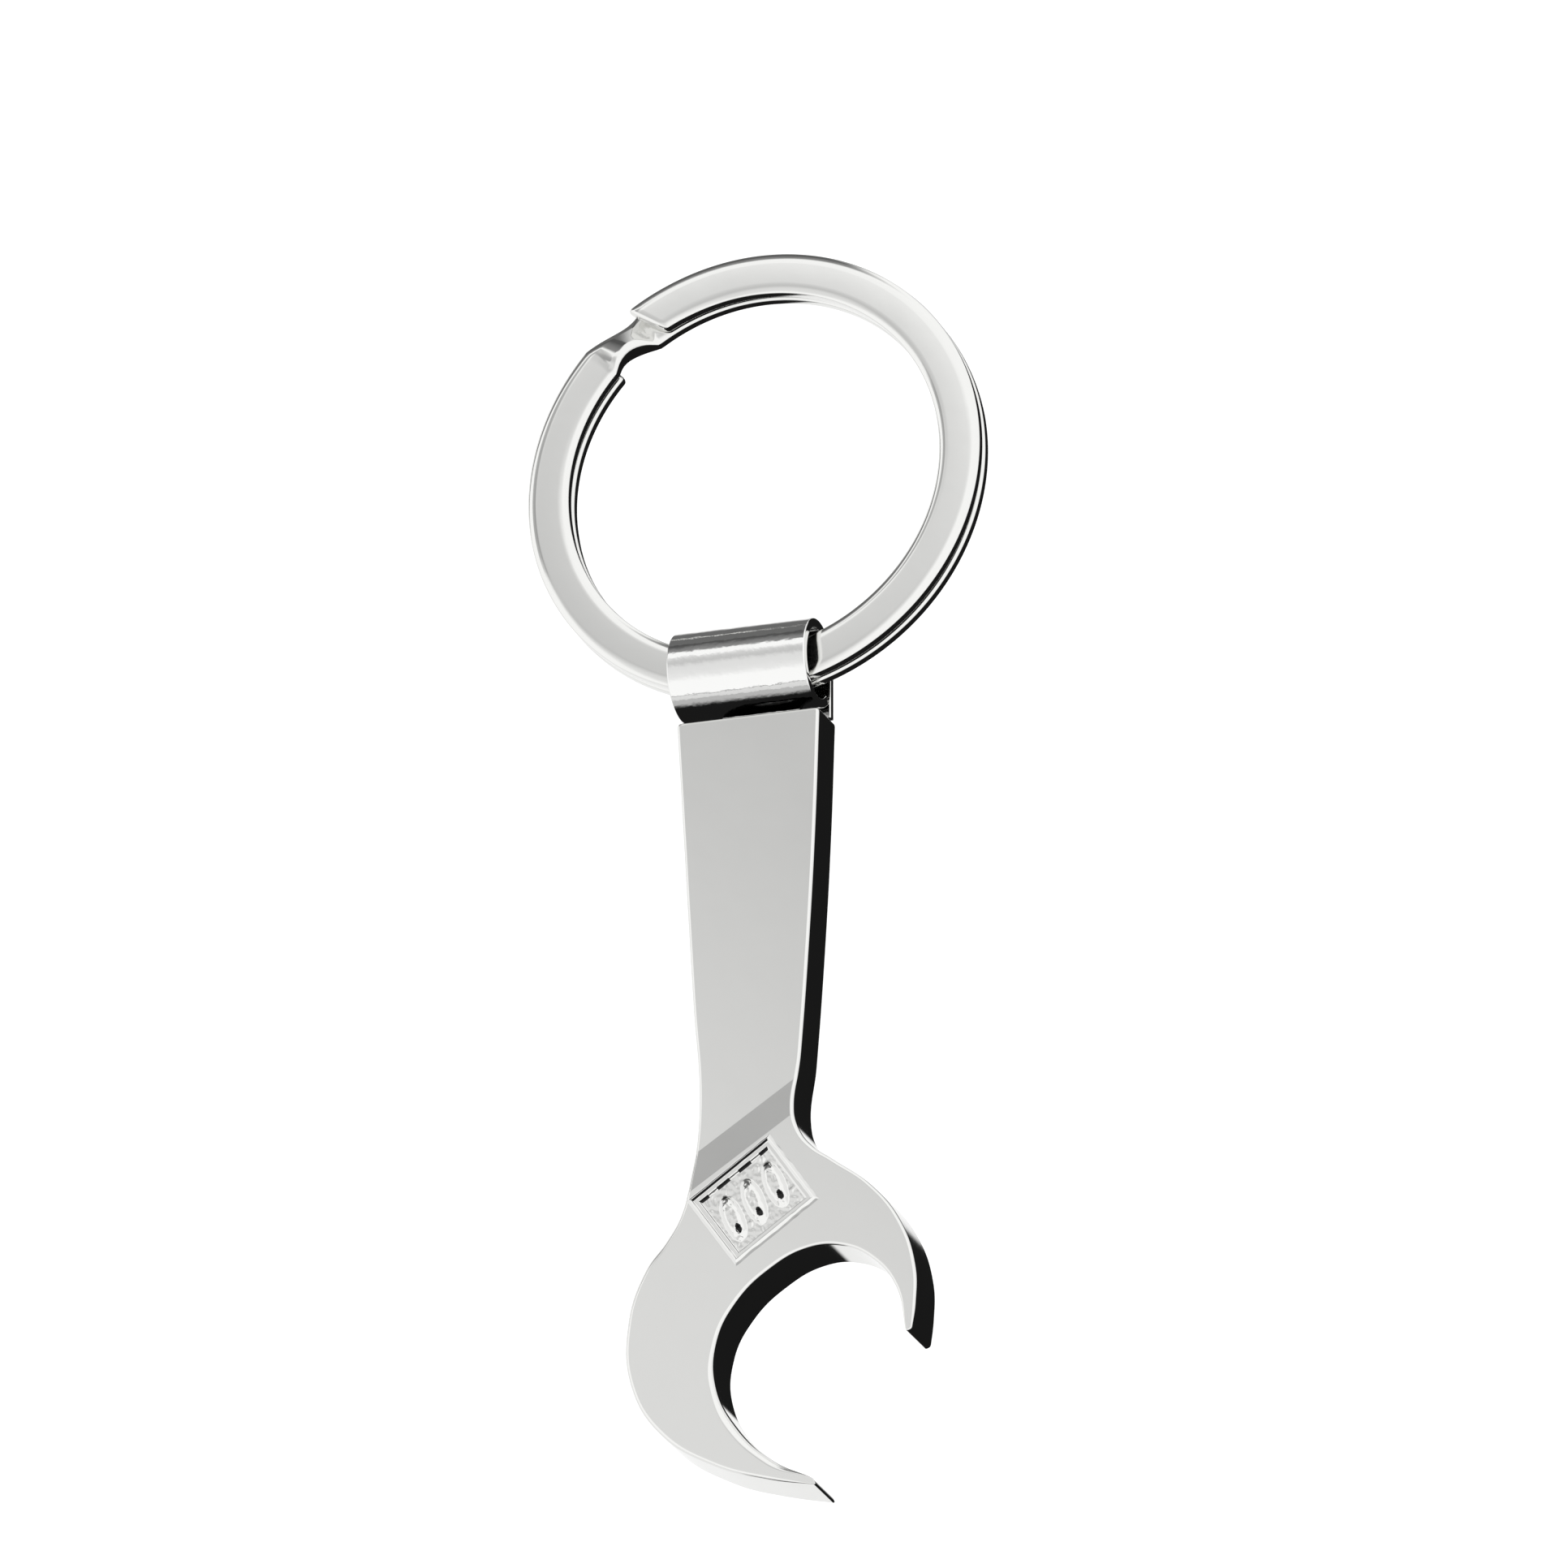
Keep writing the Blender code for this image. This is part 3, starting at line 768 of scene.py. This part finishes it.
# Painted shade: the tail's faces inside the handle's recess are matt near-black. They stand in for the
# shade in the slot where the tail lies.
slot_shade, tree, out = new_nodes("painted_slot_shade")
dull = tree.nodes.new("ShaderNodeBsdfDiffuse")
socket_value(dull, "Color", (0.01, 0.01, 0.01, 1.0))
tree.links.new(dull.outputs[0], out.inputs["Surface"])
sleeve.data.materials.append(slot_shade)
for polygon in sleeve.data.polygons:
    if polygon.center.y < tail_mouth_y and polygon.center.z > back_z + 0.1 * MM:
        polygon.material_index = 1

# ---------------------------------------------------------------------------------------------------------
# The rivet: plain turned steel, countersunk flush with the tail on the back. It holds the tail in its
# recess, and its face keeps the marks of the punch that set it.

profile = [
    (0, 1.45),
    (0.45, 1.45),
    (0.53, 1.40),
    (0.55, 1.30),
    (0.55, 0.43),
    (0.93, 0.08),
    (0.95, 0.05),
    (0.90, 0.03),
    (0.55, 0.04),
    (0.30, 0.07),
    (0, 0.08),
]
rivet = lathe("countersunk_rivet", [(radius * MM, height * MM) for radius, height in profile], 64)
rivet.location = (0, rivet_y, back_z)
bpy.context.view_layer.update()
rivet.data.transform(rivet.matrix_world)
rivet.location = (0, 0, 0)
settle(rivet)
steel = plated("turned_steel", (0.52, 0.51, 0.50), 0.24, 0.003 * MM, 0.3 * MM)
finished(rivet, steel, "rivet_steel", "opener", "loop_rivet")
rivet.visible_glossy = False

# ---------------------------------------------------------------------------------------------------------
# The split ring: two turns of flattened spring wire, plated. The upper turn ends in a blunt cut end, and
# beside it the wire steps down to become the lower turn.

wire_width, wire_thickness, coil_gap = 1.8 * MM, 0.62 * MM, 0.12 * MM
upper_end, turns_wound = 123.0, 360.0 + 345.0
outer_radius = 10 * MM
ring_radius = outer_radius - wire_width / 2
level = (wire_thickness + coil_gap) / 2
from_axis = (outer_radius + math.sqrt((outer_radius - wire_width) ** 2 - half_sleeve**2)) / 2
reach = from_axis + outer_radius
half_stack = wire_thickness + coil_gap / 2
tilt = math.asin(sleeve_radius / math.hypot(reach, half_stack)) - math.atan2(half_stack, reach)
ring_place = (
    Matrix.Translation((0, eye_y, eye_z))
    @ Matrix.Rotation(-tilt, 4, "X")
    @ Matrix.Translation((0.15 * MM, from_axis, 0))
)


def wire_centre(wound):
    """The wire's middle after so many degrees clockwise from its upper end."""
    down = eased(wound, 345.5, 359.0)
    angle = math.radians(upper_end - wound)
    return Vector((ring_radius * math.cos(angle), ring_radius * math.sin(angle), level - 2 * level * down))


def wire_section():
    """The flattened wire's section: nearly flat faces, soft edges. (across, up) from its middle."""
    found = []
    half_width, half_height = wire_width / 2, wire_thickness / 2
    soft_across, soft_up = 0.48 * MM, 0.15 * MM
    for side, up, start in ((1, 1, 90), (1, -1, 0), (-1, -1, -90), (-1, 1, 180)):
        for i in range(10):
            angle = math.radians(start - 90 * i / 9)
            across = side * (half_width - soft_across) + soft_across * math.cos(angle)
            found.append((across, up * (half_height - soft_up) + soft_up * math.sin(angle)))
    return found


end_round = 0.2 * MM
solid = bmesh.new()
loops = []
ends = []
for i in range(6):
    turn = math.pi / 2 * i / 5
    ends.append((end_round * (1 - math.cos(turn)), end_round * (1 - math.sin(turn))))
marks = [(math.degrees(run / ring_radius), shrink) for run, shrink in ends]
first = marks[-1][0]
middle = [(first + (turns_wound - 2 * first) * i / 560, 0.0) for i in range(1, 560)]
marks = marks + middle + [(turns_wound - wound, shrink) for wound, shrink in reversed(marks)]
for wound, shrink in marks:
    centre = wire_centre(wound)
    heading = (wire_centre(wound + 0.2) - wire_centre(wound - 0.2)).normalized()
    outward = Vector((centre.x, centre.y, 0)).normalized()
    up = outward.cross(heading).normalized()
    if up.z < 0:
        up.negate()
    # Where it steps down, the wire is squeezed narrower and thicker, and leans outward.
    in_jog = math.sin(math.pi * min(max((wound - 344.0) / 15.0, 0.0), 1.0))
    roll = math.radians(-12.0) * in_jog
    outward = Matrix.Rotation(roll, 3, heading) @ outward
    up = Matrix.Rotation(roll, 3, heading) @ up
    slant = math.tan(math.radians(26)) * (1 - eased(wound, 4.0, 14.0))
    loop = []
    for across, height in wire_section():
        across -= math.copysign(min(shrink, abs(across)), across)
        height -= math.copysign(min(shrink, abs(height)), height)
        across *= 1 - 0.30 * in_jog
        height *= 1 + 0.4 * in_jog
        point = centre + outward * across + up * height - heading * across * slant
        loop.append(solid.verts.new(ring_place @ point))
    loops.append(loop)
bridge(solid, loops)
solid.faces.new(loops[0])
solid.faces.new(loops[-1])
bmesh.ops.recalc_face_normals(solid, faces=solid.faces)
ring = settle(as_object("coiled_ring", solid), smooth_below=50)
wire = plated("chrome_on_wire", (0.80, 0.80, 0.785), 0.06, 0.004 * MM, 1.6 * MM)
finished(ring, wire, "plated_wire", "ring", "split_ring")
